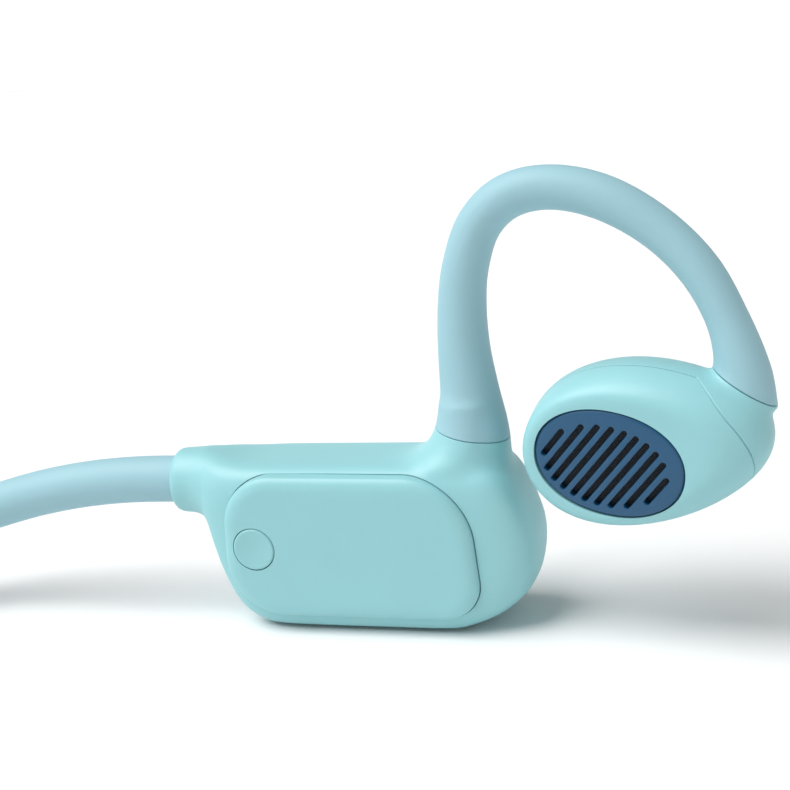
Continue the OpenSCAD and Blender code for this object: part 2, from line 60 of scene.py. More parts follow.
shell_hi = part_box("module_shell_l")[1]
UNIT_X = shell_hi.x / MM - NOSE_X
HALF_WIDTH = shell_hi.y / MM - BODY_HALF
SIDES = {"l": 1.0, "r": -1.0}


def to_row(points, side):
    """Unit millimetres to row metres."""
    p = np.asarray(points, float)
    sign = SIDES[side]
    return np.stack([p[:, 0] + UNIT_X, sign * (p[:, 1] + HALF_WIDTH), p[:, 2] - FOOT_Z], 1) * MM


# ---------------------------------------------------------------- numbers


def ramp(value, start, end):
    """0 before start, 1 after end, smooth in between."""
    t = np.clip((np.asarray(value, float) - start) / (end - start), 0, 1)
    return t * t * (3 - 2 * t)


def spline(rows, steps):
    """Rows of numbers, with a smooth curve's rows between them."""
    rows = np.asarray(rows, float)
    last = len(rows) - 1
    out = []
    for u in np.linspace(0, last, last * steps + 1):
        k = min(int(u), last - 1)
        t = u - k
        a, b, c, d = (rows[min(max(k + j, 0), last)] for j in (-1, 0, 1, 2))
        out.append(0.5 * (2 * b + (c - a) * t + (2 * a - 5 * b + 4 * c - d) * t * t
                          + (3 * b - a - 3 * c + d) * t ** 3))
    return np.array(out)


def oval(count, a, b, power):
    """Points of a rounded oval, evenly spread in angle."""
    t = np.arange(count) * 2 * math.pi / count
    c, s = np.cos(t), np.sin(t)
    k = (np.abs(c) ** power + np.abs(s) ** power) ** (-1 / power)
    return np.stack([a * k * c, b * k * s], 1)


def unit(v):
    v = np.asarray(v, float)
    return v / np.linalg.norm(v, axis=-1, keepdims=True)


def resampled(outline, step):
    """A closed outline with points at even distances."""
    closed = np.vstack([outline, outline[:1]])
    length = np.concatenate([[0], np.cumsum(np.linalg.norm(np.diff(closed, axis=0), axis=1))])
    count = int(length[-1] / step)
    at = np.arange(count) * length[-1] / count
    return np.stack([np.interp(at, length, closed[:, k]) for k in (0, 1)], 1)


def hull(points):
    """Counterclockwise convex outline."""
    points = sorted(map(tuple, points))
    chains = []
    for order in (points, points[::-1]):
        chain = []
        for p in order:
            while len(chain) > 1 and (
                (chain[-1][0] - chain[-2][0]) * (p[1] - chain[-2][1])
                - (chain[-1][1] - chain[-2][1]) * (p[0] - chain[-2][0])
            ) <= 0:
                chain.pop()
            chain.append(p)
        chains += chain[:-1]
    return np.array(chains)


# ---------------------------------------------------------------- meshes


def loft(rings, caps=True):
    """Points and faces through rings of equal count."""
    n, m = len(rings[0]), len(rings)
    faces = [(k * n + i, k * n + (i + 1) % n, (k + 1) * n + (i + 1) % n, (k + 1) * n + i)
             for k in range(m - 1) for i in range(n)]
    if caps:
        faces.append(tuple(range(n))[::-1])
        faces.append(tuple(range((m - 1) * n, m * n)))
    return np.concatenate(rings), faces


def joined(*solids):
    points, faces, base = [], [], 0
    for p, f in solids:
        points.append(p)
        faces += [tuple(int(i) + base for i in face) for face in f]
        base += len(p)
    return np.concatenate(points), faces


def new_mesh(name, points, faces, tidy=True):
    mesh = bpy.data.meshes.new(name)
    mesh.from_pydata([tuple(map(float, p)) for p in points], [], [tuple(map(int, f)) for f in faces])
    if tidy:
        bm = bmesh.new()
        bm.from_mesh(mesh)
        bmesh.ops.recalc_face_normals(bm, faces=bm.faces)
        bm.to_mesh(mesh)
        bm.free()
    mesh.update()
    return mesh


def scratch(solid, name="scratch"):
    obj = bpy.data.objects.new(name, new_mesh(name, *solid))
    bpy.context.scene.collection.objects.link(obj)
    return obj


def drop(obj):
    mesh = obj.data
    bpy.data.objects.remove(obj)
    bpy.data.meshes.remove(mesh)


def baked(obj):
    """Points and faces of an object with its modifiers. The object goes."""
    shown = obj.evaluated_get(bpy.context.evaluated_depsgraph_get())
    mesh = shown.to_mesh()
    points = np.empty(len(mesh.vertices) * 3)
    mesh.vertices.foreach_get("co", points)
    faces = [tuple(p.vertices) for p in mesh.polygons]
    shown.to_mesh_clear()
    drop(obj)
    return points.reshape(-1, 3), faces


def fused(solid, voxel):
    """One closed surface of even quads round overlapping solids."""
    obj = scratch(solid)
    mod = obj.modifiers.new("fuse", "REMESH")
    mod.mode = "VOXEL"
    mod.voxel_size = voxel
    return baked(obj)


def cut(solid, *cutters):
    obj = scratch(solid)
    helpers = []
    for c in cutters:
        helper = scratch(c, "cutter")
        mod = obj.modifiers.new("cut", "BOOLEAN")
        mod.operation = "DIFFERENCE"
        mod.solver = "EXACT"
        mod.object = helper
        helpers.append(helper)
    result = baked(obj)
    for helper in helpers:
        drop(helper)
    return result


def normals_of(points, quads):
    p = points[quads]
    face = np.cross(p[:, 2] - p[:, 0], p[:, 3] - p[:, 1])
    out = np.zeros_like(points)
    for k in range(3):
        out[:, k] = np.bincount(quads.ravel(), np.repeat(face[:, k], 4), len(points))
    return out / np.maximum(np.linalg.norm(out, axis=1, keepdims=True), 1e-12)


def relaxed(solid, weight, rounds, filling=False):
    """Smooths a quad surface. Filling only fills hollows, and doesn't wear edges down."""
    points, faces = solid
    quads = np.array(faces)
    a, b = quads.ravel(), np.roll(quads, -1, 1).ravel()
    count = np.maximum(np.bincount(a, minlength=len(points)), 1)
    moving = np.asarray(weight, float).reshape(-1, 1)
    points = points.copy()
    normal = None
    for r in range(rounds):
        mean = np.stack([np.bincount(a, points[b, k], len(points)) for k in range(3)], 1) / count[:, None]
        step = (mean - points) * 0.5
        if filling:
            if r % 12 == 0:
                normal = normals_of(points, quads)
            out = np.sum(step * normal, 1, keepdims=True)
            step = normal * np.maximum(out, 0)
        points += step * moving
    return points, faces


def split_by(solid, where, origin, normal, half_gap, keep):
    """Cuts faces that where() accepts along a plane, and keeps the connected piece that keep() picks.
    The cut edge is left open."""
    points, faces = solid
    normal = unit(normal)
    origin = np.asarray(origin, float) + normal * half_gap
    bm = bmesh.new()
    bm.from_mesh(new_mesh("split", points, faces))
    near = [f for f in bm.faces if where(np.array(f.calc_center_median()))]
    geom = set(near)
    for f in near:
        geom.update(f.edges)
        geom.update(f.verts)
    done = bmesh.ops.bisect_plane(bm, geom=list(geom), dist=1e-5, plane_co=Vector(origin),
                                  plane_no=Vector(normal))
    edges = [e for e in done["geom_cut"] if isinstance(e, bmesh.types.BMEdge)]
    bmesh.ops.split_edges(bm, edges=edges)
    bm.verts.ensure_lookup_table()
    groups, seen = [], set()
    for v in bm.verts:
        if v.index in seen:
            continue
        stack, group = [v], []
        seen.add(v.index)
        while stack:
            x = stack.pop()
            group.append(x)
            for e in x.link_edges:
                y = e.other_vert(x)
                if y.index not in seen:
                    seen.add(y.index)
                    stack.append(y)
        groups.append(group)
    groups.sort(key=len, reverse=True)
    picked = max(groups[:4], key=lambda g: keep(np.mean([v.co for v in g], axis=0)))
    gone = [v for g in groups if g is not picked for v in g]
    bmesh.ops.delete(bm, geom=gone, context="VERTS")
    return bm


def closed_rim(bm, normal, bevel, depth=0.8):
    """Closes the open edge of a split piece with a small bevel and a hidden end face."""
    normal = Vector(unit(normal))
    rim = [e for e in bm.edges if e.is_boundary]
    for inset, rise in ((bevel * 0.35, bevel * 0.65), (bevel * 0.65, bevel * 0.35), (depth, 0.0)):
        made = bmesh.ops.extrude_edge_only(bm, edges=rim)
        verts = [g for g in made["geom"] if isinstance(g, bmesh.types.BMVert)]
        centre = sum((v.co for v in verts), Vector()) / len(verts)
        for v in verts:
            out = v.co - centre
            out -= normal * out.dot(normal)
            v.co += normal * rise - out.normalized() * min(inset, out.length * 0.5)
        rim = [g for g in made["geom"] if isinstance(g, bmesh.types.BMEdge)]
    bmesh.ops.holes_fill(bm, edges=rim, sides=0)
    bmesh.ops.recalc_face_normals(bm, faces=bm.faces)


def solid_of(bm):
    bm.verts.index_update()
    points = np.array([v.co for v in bm.verts])
    faces = [tuple(v.index for v in f.verts) for f in bm.faces]
    bm.free()
    return points, faces


def piece(name, solid, side, body, nodes, material, sharp=35):
    """A finished piece in the row, which stands for CAD nodes."""
    points, faces = solid
    if side is not None:
        points = to_row(points, side)
    mesh = new_mesh(name, points, faces)
    mesh.shade_smooth()
    mesh.set_sharp_from_angle(angle=math.radians(sharp))
    obj = bpy.data.objects.new(name, mesh)
    bpy.context.scene.collection.objects.link(obj)
    mesh.materials.append(material)
    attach(obj, body)
    if nodes:
        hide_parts(*nodes)
    return obj


# ---------------------------------------------------------------- materials


def srgb(r, g, b):
    def linear(v):
        v /= 255
        return v / 12.92 if v <= 0.04045 else ((v + 0.055) / 1.055) ** 2.4
    return (linear(r), linear(g), linear(b), 1.0)


def shade(colour, factor):
    return tuple(min(1.0, c * factor) for c in colour[:3]) + (1.0,)


def moulded(name, colour, rough, grain=0.25, depth=0.012, spread=0.06, drift=5.0, metal=0.0,
            specular=0.5, sheen=0.0, coat=0.0):
    """Moulded or cast surface: fine grain in millimetres as bump, slow changes
    of colour and of roughness."""
    mat = bpy.data.materials.new(name)
    mat.use_nodes = True
    nodes, links = mat.node_tree.nodes, mat.node_tree.links
    bsdf = nodes["Principled BSDF"]
    bsdf.inputs["Metallic"].default_value = metal
    bsdf.inputs["Specular IOR Level"].default_value = specular
    bsdf.inputs["Sheen Weight"].default_value = sheen
    bsdf.inputs["Coat Weight"].default_value = coat
    place = nodes.new("ShaderNodeTexCoord")
    slow = nodes.new("ShaderNodeTexNoise")
    slow.inputs["Scale"].default_value = 1 / (drift * MM)
    slow.inputs["Detail"].default_value = 3
    tint = nodes.new("ShaderNodeMix")
    tint.data_type = "RGBA"
    tint.inputs["A"].default_value = shade(colour, 1 - spread)
    tint.inputs["B"].default_value = shade(colour, 1 + spread)
    fine = nodes.new("ShaderNodeTexNoise")
    fine.inputs["Scale"].default_value = 1 / (grain * MM)
    fine.inputs["Detail"].default_value = 4
    fine.inputs["Roughness"].default_value = 0.6
    gloss = nodes.new("ShaderNodeMapRange")
    gloss.inputs["To Min"].default_value = max(0.05, rough - 0.05)
    gloss.inputs["To Max"].default_value = min(1.0, rough + 0.05)
    bump = nodes.new("ShaderNodeBump")
    bump.inputs["Strength"].default_value = 0.35
    bump.inputs["Distance"].default_value = depth * MM
    links.new(place.outputs["Object"], slow.inputs["Vector"])
    links.new(place.outputs["Object"], fine.inputs["Vector"])
    links.new(slow.outputs["Fac"], tint.inputs["Factor"])
    links.new(tint.outputs["Result"], bsdf.inputs["Base Color"])
    links.new(fine.outputs["Fac"], gloss.inputs["Value"])
    links.new(gloss.outputs["Result"], bsdf.inputs["Roughness"])
    links.new(fine.outputs["Fac"], bump.inputs["Height"])
    links.new(bump.outputs["Normal"], bsdf.inputs["Normal"])
    return mat


def woven(name, colour, pitch):
    """Woven screen: crossing threads as bump and colour."""
    mat = moulded(name, colour, 0.55)
    nodes, links = mat.node_tree.nodes, mat.node_tree.links
    bsdf = nodes["Principled BSDF"]
    place = next(n for n in nodes if n.type == "TEX_COORD")
    waves = []
    for turn in (0.6, 0.6 + math.pi / 2):
        lean = nodes.new("ShaderNodeMapping")
        lean.inputs["Rotation"].default_value = (0, turn, 0)
        wave = nodes.new("ShaderNodeTexWave")
        wave.inputs["Scale"].default_value = 0.314 / (pitch * MM)
        wave.inputs["Distortion"].default_value = 0.4
        links.new(place.outputs["Object"], lean.inputs["Vector"])
        links.new(lean.outputs["Vector"], wave.inputs["Vector"])
        waves.append(wave)
    over = nodes.new("ShaderNodeMath")
    over.operation = "MAXIMUM"
    links.new(waves[0].outputs["Fac"], over.inputs[0])
    links.new(waves[1].outputs["Fac"], over.inputs[1])
    tint = nodes.new("ShaderNodeMix")
    tint.data_type = "RGBA"
    tint.inputs["A"].default_value = shade(colour, 0.35)
    tint.inputs["B"].default_value = shade(colour, 2.2)
    bump = nodes.new("ShaderNodeBump")
    bump.inputs["Distance"].default_value = 0.05 * MM
    links.new(over.outputs["Value"], tint.inputs["Factor"])
    links.new(tint.outputs["Result"], bsdf.inputs["Base Color"])
    links.new(over.outputs["Value"], bump.inputs["Height"])
    links.new(bump.outputs["Normal"], bsdf.inputs["Normal"])
    return mat


AQUA = srgb(144, 199, 204)
SILICONE = srgb(150, 190, 200)
FINISH = {
    "shell_plastic": moulded("aqua_plastic", AQUA, 0.46, grain=0.22, depth=0.010, spread=0.025),
    "hook_silicone": moulded("hook_silicone", SILICONE, 0.56, grain=0.16, depth=0.012,
                             spread=0.02, specular=0.4),
    "band_silicone": moulded("band_silicone", SILICONE, 0.56, grain=0.16, depth=0.012,
                             spread=0.02, specular=0.4),
    "grille_navy": moulded("grille_navy", srgb(26, 80, 116), 0.42, grain=0.2, depth=0.01, spread=0.05),
    "mesh_dark": woven("mesh_dark", srgb(38, 42, 48), 0.22),
    "sprung_wire": moulded("sprung_wire", srgb(176, 176, 180), 0.28, metal=1.0, spread=0.03),
    "cable": moulded("cable", srgb(30, 30, 34), 0.6),
    "inner_plastic": moulded("inner_plastic", srgb(44, 46, 50), 0.6, grain=0.3, depth=0.02),
    "magnet": moulded("magnet", srgb(180, 180, 186), 0.3, metal=1.0, spread=0.04),
    "coil": moulded("coil", srgb(196, 116, 70), 0.35, metal=1.0, grain=0.12, depth=0.03),
    "diaphragm": moulded("diaphragm", srgb(176, 178, 184), 0.4, grain=0.3),
    "cell": moulded("cell", srgb(168, 172, 182), 0.38, metal=0.6, grain=0.8, depth=0.05),
    "board": moulded("board", srgb(34, 92, 62), 0.5, grain=0.5, depth=0.03, spread=0.1),
    "shield": moulded("shield", srgb(190, 190, 194), 0.32, metal=1.0, grain=0.4),
    "switch": moulded("switch", srgb(170, 170, 174), 0.35, metal=1.0),
    "contact": moulded("contact", srgb(226, 190, 108), 0.22, metal=1.0, grain=0.3, spread=0.04),
}
NODE_SLOT = {row["node"]: row["material_slot"] for row in frame["record"]["subparts"]}

# ---------------------------------------------------------------- housing, hook and pod

TUBE_R = 2.65
COLLAR_R = TUBE_R + 0.6
NECK_X, NECK_Z, COLLAR_X = -37.0, 16.95, -34.95
TOP_Z = 19.9

# Position along X, bottom, top, half thickness over BODY_HALF, roundness
BODY = [
    (COLLAR_X, NECK_Z - COLLAR_R, NECK_Z + COLLAR_R, COLLAR_R / BODY_HALF, 2.0),
    (-34.8, NECK_Z - COLLAR_R - 0.3, NECK_Z + COLLAR_R + 0.15, (COLLAR_R + 0.25) / BODY_HALF, 2.0),
    (-34.3, NECK_Z - COLLAR_R - 0.5, NECK_Z + COLLAR_R + 0.35, (COLLAR_R + 0.4) / BODY_HALF, 2.0),
    (-32.6, NECK_Z - COLLAR_R - 0.6, TOP_Z + 0.7, (COLLAR_R + 0.5) / BODY_HALF, 2.1),
    (-31.2, 12.50, TOP_Z + 0.75, 0.66, 2.3),
    (-30.4, 11.00, TOP_Z + 0.65, 0.720, 2.6),
    (-29.8, 8.90, TOP_Z + 0.55, 0.790, 3.0),
    (-29.0, 6.50, TOP_Z + 0.42, 0.850, 3.6),
    (-27.95, 4.40, TOP_Z + 0.25, 0.900, 4.4),
    (-26.7, 2.80, TOP_Z + 0.1, 0.940, 5.0),
    (-25.0, 1.85, TOP_Z, 0.970, 5.8),
    (-22.8, 1.35, TOP_Z, 0.990, 6.2),
    (-19.0, 1.15, TOP_Z, 1.000, 6.2),
    (-10.0, 1.15, TOP_Z, 1.000, 6.2),
    (-3.5, 1.25, TOP_Z, 1.000, 6.2),
    (-0.8, 1.75, TOP_Z, 0.990, 5.6),
    (1.8, 2.75, 19.75, 0.965, 4.8),
    (3.5, 3.75, 18.70, 0.920, 4.0),
    (4.8, 4.85, 16.80, 0.840, 3.3),
    (5.8, 6.35, 14.50, 0.690, 2.7),
    (6.4, 8.35, 13.00, 0.470, 2.3),
    (6.6, 9.50, 11.60, 0.220, 2.0),
]

# Position, radius in the hook's plane, radius across it
HOOK = [
    (0.15, 0, 17.6, 3.6, 3.9),
    (0.10, 0, 22.3, 3.6, 3.8),
    (-0.15, 0, 27.0, 3.1, 3.2),
    (-0.35, 0, 31.5, 2.75, 2.85),
    (-0.15, 0, 36.0, 2.55, 2.6),
    (0.55, 0, 40.0, 2.42, 2.5),
    (2.30, 0, 44.2, 2.33, 2.4),
    (5.50, -0.1, 46.9, 2.30, 2.4),
    (10.0, -0.3, 47.6, 2.25, 2.35),
    (15.2, -0.7, 46.3, 2.25, 2.35),
    (20.2, -1.2, 43.2, 2.14, 2.3),
    (24.2, -1.9, 39.0, 2.1, 2.3),
    (26.8, -2.6, 33.9, 2.12, 2.3),
    (28.0, -3.1, 29.0, 2.75, 2.7),
    (28.0, -3.4, 25.4, 3.3, 3.1),
]
ROOT_SEAM = ((0.1, 0, 22.4), (0.22, 0, 1.0))
POD_SEAM = ((27.6, -3.0, 28.1), (0.55, 0, 0.83))

# Height, spread to the rear and spread to the sides of the fillet at the hook's root
ROOT_FLARE = [
    (19.2, 5.2, 1.9), (19.8, 4.3, 1.7), (20.3, 3.3, 1.45), (20.9, 2.35, 1.15), (21.6, 1.6, 0.85),
    (22.4, 1.05, 0.55), (23.4, 0.6, 0.3), (24.6, 0.28, 0.12), (26.0, 0.05, 0.0),
]

POD_A, POD_B, POD_POWER, POD_TAPER = 12.45, 8.25, 2.0, -0.17
POD_C = np.array([6.2 + POD_A, -3.2, 22.3])
POD_YAW, POD_TILT, POD_ROLL = math.radians(10), math.radians(4), math.radians(5.6)
# Distance towards the face, share of the full size, shift of the centre
POD = [
    (-6.0, 0.30, 0.3), (-5.9, 0.50, 0.28), (-5.6, 0.66, 0.25), (-4.7, 0.82, 0.2), (-3.2, 0.93, 0.1),
    (-1.2, 0.99, 0), (0.8, 1.0, 0), (2.4, 0.97, -0.15), (3.4, 0.935, -0.45), (4.3, 0.885, -0.9),
    (4.95, 0.82, -1.4), (5.2, 0.75, -1.7), (5.22, 0.66, -1.9),
]
FACE_W, PARTING_W, PARTING_STEP = 5.2, 1.1, 2.85
GRILLE_C, GRILLE_A, GRILLE_B, GRILLE_LEAN = (-2.7, -0.48), 7.62, 5.5, math.radians(16)

POD_TURN = (Matrix.Rotation(-POD_YAW, 3, "Z") @ Matrix.Rotation(math.pi / 2 + POD_TILT, 3, "X")
            @ Matrix.Rotation(POD_ROLL, 3, "Z"))
POD_AXES = np.array(POD_TURN)


def from_pod(points):
    return np.asarray(points, float) @ POD_AXES.T + POD_C


def to_pod(points):
    return (np.asarray(points, float) - POD_C) @ POD_AXES


def body_solid():
    rings = []
    for x, low, high, share, power in spline(BODY, 5):
        ring = oval(120, share * BODY_HALF, (high - low) / 2, power)
        z = np.maximum(ring[:, 1] + (high + low) / 2, FOOT_Z)
        rings.append(np.stack([np.full(len(ring), x), ring[:, 0], z], 1))
    end = oval(120, 0.25, 0.25, 2.0)
    rings.append(np.stack([np.full(120, NOSE_X), end[:, 0], end[:, 1] + 10.5], 1))
    return loft(rings)


def hook_solid():
    path = spline(HOOK, 12)
    rings = []
    for k, row in enumerate(path):
        t = unit(path[min(k + 1, len(path) - 1)][:3] - path[max(k - 1, 0)][:3])
        side = unit(np.cross(t, (0, 1, 0)))
        across = np.cross(side, t)
        ring = oval(64, row[3], row[4], 2.0)
        rings.append(row[:3] + ring[:, :1] * side + ring[:, 1:] * across)
    return loft(rings)


def root_flare_solid():
    rings = []
    for z, rear, sides in spline(ROOT_FLARE, 4):
        ring = oval(64, 3.2 + rear / 2, 3.7 + sides, 2.1)
        rings.append(np.stack([ring[:, 0] - 0.2 - rear / 2, ring[:, 1], np.full(64, z)], 1))
    return loft(rings)


def pod_solid():
    rings = []
    for w, share, shift in spline(POD, 5):
        ring = oval(120, POD_A * share, POD_B * share, POD_POWER)
        ring[:, 1] *= 1 + POD_TAPER * ring[:, 0] / (POD_A * share)
        rings.append(from_pod(np.stack([ring[:, 0] + shift, ring[:, 1], np.full(120, w)], 1)))
    return loft(rings)


def near(points, centre, inner, outer):
    """1 within the inner distance of centre, 0 beyond the outer one."""
    return 1 - ramp(np.linalg.norm(points - np.array(centre), axis=1), inner, outer)


FINE_VOXEL = 0.24
VOXEL = FINE_VOXEL
ROOT_ROUNDS, SOCKET_ROUNDS = 200, 70


def unit_skin():
    """Housing, hook and pod as one flowing surface."""
    skin = fused(joined(body_solid(), root_flare_solid(), hook_solid(), pod_solid()), VOXEL)
    skin = relaxed(skin, np.ones(len(skin[0])), 3)
    rounds = (FINE_VOXEL / VOXEL) ** 2
    root = near(skin[0], (-0.5, 0, 21.4), 8.5, 11.5)
    skin = relaxed(skin, root, int(ROOT_ROUNDS * rounds), filling=True)
    socket = near(skin[0], (26.0, -3, 27.6), 6.0, 8.5)
    skin = relaxed(skin, socket, int(SOCKET_ROUNDS * rounds), filling=True)
    skin = relaxed(skin, np.ones(len(skin[0])), 5)
    flat = skin[0].copy()
    flat[:, 2] = np.maximum(flat[:, 2], FOOT_Z)
    return flat, skin[1]


def at_root(c):
    return c[0] < 5.2 and c[2] > 18


def at_socket(c):
    return np.linalg.norm(c - np.array(POD_SEAM[0])) < 5.6


skin = unit_skin()
GAP, BEVEL = 0.10, 0.06


def part_of_skin(cuts, keep):
    """The piece of the skin that lies between the seams, with closed ends."""
    solid = skin
    for where, (origin, normal), side in cuts:
        bm = split_by(solid, where, origin, normal, side * GAP, keep)
        closed_rim(bm, np.array(unit(normal)) * (-side), BEVEL)
        solid = solid_of(bm)
    return solid


housing = part_of_skin([(at_root, ROOT_SEAM, -1)], lambda c: -c[2] - abs(c[0] + 12))
sleeve = part_of_skin([(at_root, ROOT_SEAM, 1), (at_socket, POD_SEAM, 1)], lambda c: c[2])
pod = part_of_skin([(at_socket, POD_SEAM, -1)], lambda c: -np.linalg.norm(c - POD_C))

# ---- speaker pod: the front cap's parting line steps round the hook's socket


# Direction of the hook from the pod's centre and the step's reach to either side, in degrees
STEP_AT, STEP_UP, STEP_DOWN = 12, 34, 36


def step_forward(local):
    angle = np.degrees(np.arctan2(local[:, 1], local[:, 0])) - STEP_AT
    width = np.where(angle > 0, STEP_UP, STEP_DOWN)
    return PARTING_STEP * np.maximum(0, 1 - (np.abs(angle) / width) ** 2.2)


def pod_half(front):
    points, faces = pod
    local = to_pod(points)
    local[:, 2] -= step_forward(local)
    side = 1 if front else -1
    bm = split_by((local, faces), lambda c: abs(c[2] - PARTING_W) < 1.2, (0, 0, PARTING_W), (0, 0, 1),
                  side * GAP * 1.2, lambda c: side * c[2])
    closed_rim(bm, (0, 0, -side), BEVEL * 0.7)
    local, faces = solid_of(bm)
    local[:, 2] += step_forward(local)
    return from_pod(local), faces


pod_back = pod_half(False)
pod_front = pod_half(True)


def grille_outline(grow, count=180):
    c, s = math.cos(GRILLE_LEAN), math.sin(GRILLE_LEAN)
    return oval(count, GRILLE_A + grow, GRILLE_B + grow, 2.1) @ np.array([[c, -s], [s, c]]) + GRILLE_C


def prism(outline, low, high, place):
    rings = [np.stack([outline[:, 0], outline[:, 1], np.full(len(outline), w)], 1) for w in (low, high)]
    points, faces = loft(rings)
    return place(points), faces


pod_front = cut(pod_front, prism(grille_outline(0.1), FACE_W - 0.95, FACE_W + 2, from_pod))

SLOTS, SLOT_W, SLOT_LEAN = 10, 0.6, math.radians(46.7)
SLOT_C, SLOT_STEP = np.array([-3.13, -0.69]), np.array([1.084, -0.62])


def slot_outline(k):
    """A leaning slot, shorter towards both ends of the oval, with a round upper end."""
    o = k - (SLOTS - 1) / 2
    half = 4.72 * math.sqrt(max(0.1, 1 - (o / (SLOTS / 2 - 0.11)) ** 2))
    r = SLOT_W / 2
    up = [(r * math.cos(a), half - r + r * math.sin(a)) for a in np.linspace(0, math.pi, 13)]
    low = [(r * math.cos(a), -half + 0.1 + 0.1 * math.sin(a)) for a in np.linspace(math.pi, 2 * math.pi, 9)]
    c, s = math.cos(SLOT_LEAN), math.sin(SLOT_LEAN)
    return np.array(up + low) @ np.array([[c, -s], [s, c]]) + SLOT_C + SLOT_STEP * o


def grille_solid():
    """Domed plate with a rounded rim and slots."""
    def dome(outline_share):
        return 0.22 * (1 - outline_share ** 2)
    rings = []
    for grow, w in ((-0.05, FACE_W - 0.88), (0, FACE_W - 0.8), (0, FACE_W - 0.32), (-0.05, FACE_W - 0.17),
                    (-0.16, FACE_W - 0.06), (-0.32, FACE_W)):
        outline = grille_outline(grow)
        rings.append(np.stack([outline[:, 0], outline[:, 1], np.full(len(outline), w)], 1))
    rim = grille_outline(-0.32) - GRILLE_C
    for share in np.linspace(0.94, 0.04, 12):
        outline = rim * share + GRILLE_C
        rings.append(np.stack([outline[:, 0], outline[:, 1],
                               np.full(len(outline), FACE_W + dome(share))], 1))
    plate = loft(rings)
    plate = cut(plate, *[prism(slot_outline(k), FACE_W - 2, FACE_W + 2, np.asarray) for k in range(SLOTS)])
    plate = fused(plate, 0.085)
    points, faces = relaxed(plate, np.ones(len(plate[0])), 3)
    return from_pod(points), faces


grille = grille_solid()


def mesh_solid():
    rings = []
    for grow, w in ((-0.1, FACE_W - 1.05), (0.0, FACE_W - 1.0), (-0.1, FACE_W - 0.92)):
        outline = grille_outline(grow)
        rings.append(np.stack([outline[:, 0], outline[:, 1], np.full(len(outline), w)], 1))
    points, faces = loft(rings)
    return from_pod(points), faces


# ---- cover plate, button, keys and contacts

PANEL_Y, PANEL_IN = -7.2, -5.1
BUTTON_C, BUTTON_R = (-23.9, 11.3), 2.35
KEY_X, KEY_L, KEY_W = (-24.2, -15.4), 6.0, 2.8
PANEL_CIRCLES = [(-21.5, 13.5, 5.8), (-6.95, 11.75, 7.45), (-3.35, 7.5, 4.1), (-21.2, 9.75, 6.35)]


def panel_outline(grow):
    turn = np.linspace(0, 2 * math.pi, 160, endpoint=False)
    points = [(x + (r + grow) * math.cos(a), z + (r + grow) * math.sin(a))
              for x, z, r in PANEL_CIRCLES for a in turn]
    return resampled(hull(points), 0.3)


def in_xz(outline, y):
    return np.stack([outline[:, 0], np.full(len(outline), y), outline[:, 1]], 1)


def prism_y(outline, y0, y1):
    return loft([in_xz(outline, y0), in_xz(outline, y1)])


def circle(centre, r, count=64):
    return oval(count, r, r, 2.0) + centre


def panel_solid(holes):
    """Cover plate with softly rolled edges and a slight crown."""
    outline = panel_outline(0)
    ahead = np.roll(outline, -1, 0) - np.roll(outline, 1, 0)
    inward = unit(np.stack([-ahead[:, 1], ahead[:, 0]], 1))
    edge = PANEL_Y + 0.95
    rings = [in_xz(outline, PANEL_IN), in_xz(outline, edge)]
    roll_in, roll_up = 1.7, 0.82
    for a in np.linspace(0.12, 1, 9) * math.pi / 2:
        rings.append(in_xz(outline + inward * roll_in * (1 - math.cos(a)),
                           edge - roll_up * math.sin(a)))
    middle = rings[-1].mean(0)
    for share in (0.97, 0.93, 0.86, 0.76, 0.62, 0.45, 0.25, 0.08):
        ring = middle + (rings[10] - middle) * share
        ring[:, 1] = PANEL_Y + 0.13 - 0.13 * (1 - share ** 2)
        rings.append(ring)
    return cut(loft(rings), *holes)


def disc(centre, radius, y_back, y_face, dish, edge=0.22):
    """Round key along Y with a rounded edge and a slightly dished face."""
    rings = [in_xz(circle(centre, radius), y_back), in_xz(circle(centre, radius), y_face + edge)]
    for a in np.linspace(0.2, 1, 5) * math.pi / 2:
        rings.append(in_xz(circle(centre, radius - edge * (1 - math.cos(a))),
                           y_face + edge * (1 - math.sin(a))))
    for share in (0.85, 0.7, 0.5, 0.3, 0.1):
        rings.append(in_xz(circle(centre, (radius - edge) * share), y_face + dish * (1 - share ** 2)))
    return loft(rings)


def pill_outline(x, length, width, count=24):
    r, c = width / 2, (length - width) / 2
    right = [(x + c + r * math.cos(a), r * math.sin(a))
             for a in np.linspace(-math.pi / 2, math.pi / 2, count)]
    left = [(x - c + r * math.cos(a), r * math.sin(a))
            for a in np.linspace(math.pi / 2, 1.5 * math.pi, count)]
    return np.array(right + left)


def in_xy(outline, z):
    return np.stack([outline[:, 0], outline[:, 1], np.full(len(outline), z)], 1)


def key_solid(x):
    """Soft pill key with a rolled top edge, above its collar."""
    foot = TOP_Z - 1.3 - 1.25
    top = TOP_Z + 0.5
    rings = [in_xy(pill_outline(x, 7.1, 3.8), foot), in_xy(pill_outline(x, 7.1, 3.8), foot + 0.7),
             in_xy(pill_outline(x, KEY_L, KEY_W), foot + 0.72),
             in_xy(pill_outline(x, KEY_L, KEY_W), top - 0.45)]
    for a in np.linspace(0.15, 1, 6) * math.pi / 2:
        shrink = 0.9 * (1 - math.cos(a))
        rings.append(in_xy(pill_outline(x, KEY_L - shrink, KEY_W - shrink), top - 0.45 + 0.4 * math.sin(a)))
    for share in (0.75, 0.5, 0.25):
        rings.append(in_xy(pill_outline(x, (KEY_L - 0.9) * share, (KEY_W - 0.9) * share),
                           top - 0.05 + 0.04 * (1 - share)))
    return loft(rings)


